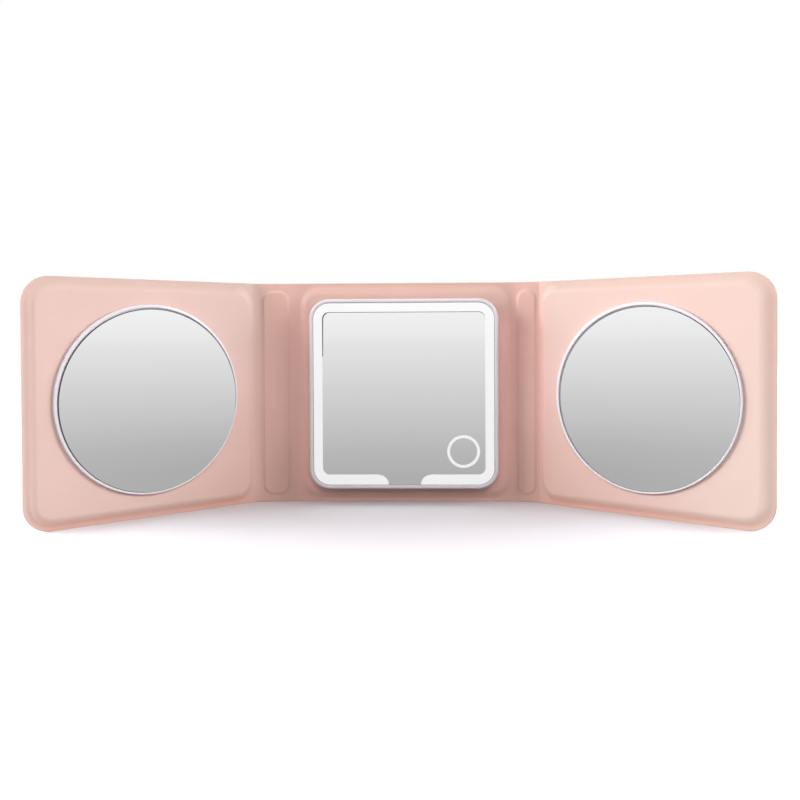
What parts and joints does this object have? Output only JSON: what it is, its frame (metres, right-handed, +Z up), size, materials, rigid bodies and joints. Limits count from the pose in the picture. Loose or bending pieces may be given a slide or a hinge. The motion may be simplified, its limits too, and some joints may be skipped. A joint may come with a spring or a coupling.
{
  "type": "trifold vanity mirror",
  "caption": "Letter-folding padded leather case that stands on its edge, with a lit square mirror in the centre panel and a round mirror on each wing.",
  "frame": {"origin": "middle of the centre panel's bottom edge, in the plane where its two leather skins meet", "axes": "+X along the centre panel to the viewer's right, +Y out of the case's back, +Z up; the mirrors face -Y"},
  "size_m": [0.3027, 0.0717, 0.105],
  "materials": {
    "case_leather": "heat-pressed matt leather with a fine grain",
    "padding_foam": "soft closed foam sheet",
    "fibre_board": "grey-brown fibre board",
    "adhesive_tape": "double-sided mounting tape",
    "module_plastic": "moulded, painted a pale silver lilac",
    "bezel_satin": "moulded, satin silver lilac paint",
    "mirror_tray_white": "moulded, glossy pearl white",
    "silvered_glass": "back-silvered float glass",
    "frosted_light": "frosted white print",
    "clear_acrylic": "polished acrylic sheet",
    "reflector_film": "white polyester film",
    "led_flex": "white solder mask on a flexible strip",
    "led_package": "white package with yellow phosphor",
    "circuit_laminate": "green solder mask on glass laminate",
    "chip_resin": "black moulded resin",
    "battery_pouch": "aluminium laminate pouch",
    "contact_foam": "conductive cloth over foam",
    "plated_steel": "nickel-plated sheet",
    "magnet_nickel": "nickel-plated magnet"
  },
  "bodies": {
    "centre": {"battery": "battery_pouch", "battery_tabs": "plated_steel", "centre_board": "fibre_board", "centre_cover": "case_leather", "centre_foam": "padding_foam", "centre_liner": "case_leather", "charging_socket": "plated_steel", "circuit_board": "circuit_laminate", "circuit_chips": "chip_resin", "led_chips": "led_package", "led_flex_strips": "led_flex", "light_band": "frosted_light", "light_guide": "clear_acrylic", "mirror_pane": "silvered_glass", "module_bezel": "bezel_satin", "module_shell": "module_plastic", "module_tape": "adhesive_tape", "reflector_sheet": "reflector_film", "touch_contact": "contact_foam", "touch_ring": "frosted_light"},
    "left_spine": {"left_inner_crease": "case_leather", "left_outer_crease": "case_leather", "left_spine_cover": "case_leather", "left_spine_liner": "case_leather", "left_spine_pad": "padding_foam"},
    "left_wing": {"left_mirror_tape": "adhesive_tape", "left_mirror_tray": "mirror_tray_white", "left_round_glass": "silvered_glass", "left_wing_board": "fibre_board", "left_wing_cover": "case_leather", "left_wing_foam": "padding_foam", "left_wing_liner": "case_leather", "left_wing_magnets": "magnet_nickel"},
    "right_spine": {"right_inner_crease": "case_leather", "right_outer_crease": "case_leather", "right_spine_cover": "case_leather", "right_spine_liner": "case_leather", "right_spine_pad": "padding_foam"},
    "right_wing": {"right_mirror_tape": "adhesive_tape", "right_mirror_tray": "mirror_tray_white", "right_round_glass": "silvered_glass", "right_wing_board": "fibre_board", "right_wing_cover": "case_leather", "right_wing_foam": "padding_foam", "right_wing_liner": "case_leather", "right_wing_magnets": "magnet_nickel"}
  },
  "joints": [
    {"name": "left_inner_fold", "type": "hinge", "parent": "centre", "child": "left_spine", "pos_m": [-0.0539, 0, 0], "axis": [0, 0, 1], "range_deg": [-5, 72.5], "deforming": ["left_inner_crease"]},
    {"name": "left_outer_fold", "type": "hinge", "parent": "left_spine", "child": "left_wing", "pos_m": [-0.07233, -0.00161, 0], "axis": [0, 0, 1], "range_deg": [-35.4, 67.1], "deforming": ["left_outer_crease"]},
    {"name": "right_inner_fold", "type": "hinge", "parent": "centre", "child": "right_spine", "pos_m": [0.0516, 0, 0], "axis": [0, 0, -1], "range_deg": [-14.3, 75.7], "deforming": ["right_inner_crease"]},
    {"name": "right_outer_fold", "type": "hinge", "parent": "right_spine", "child": "right_wing", "pos_m": [0.064, -0.00316, 0], "axis": [0, 0, -1], "range_deg": [-22.3, 67.7], "deforming": ["right_outer_crease"]}
  ]
}
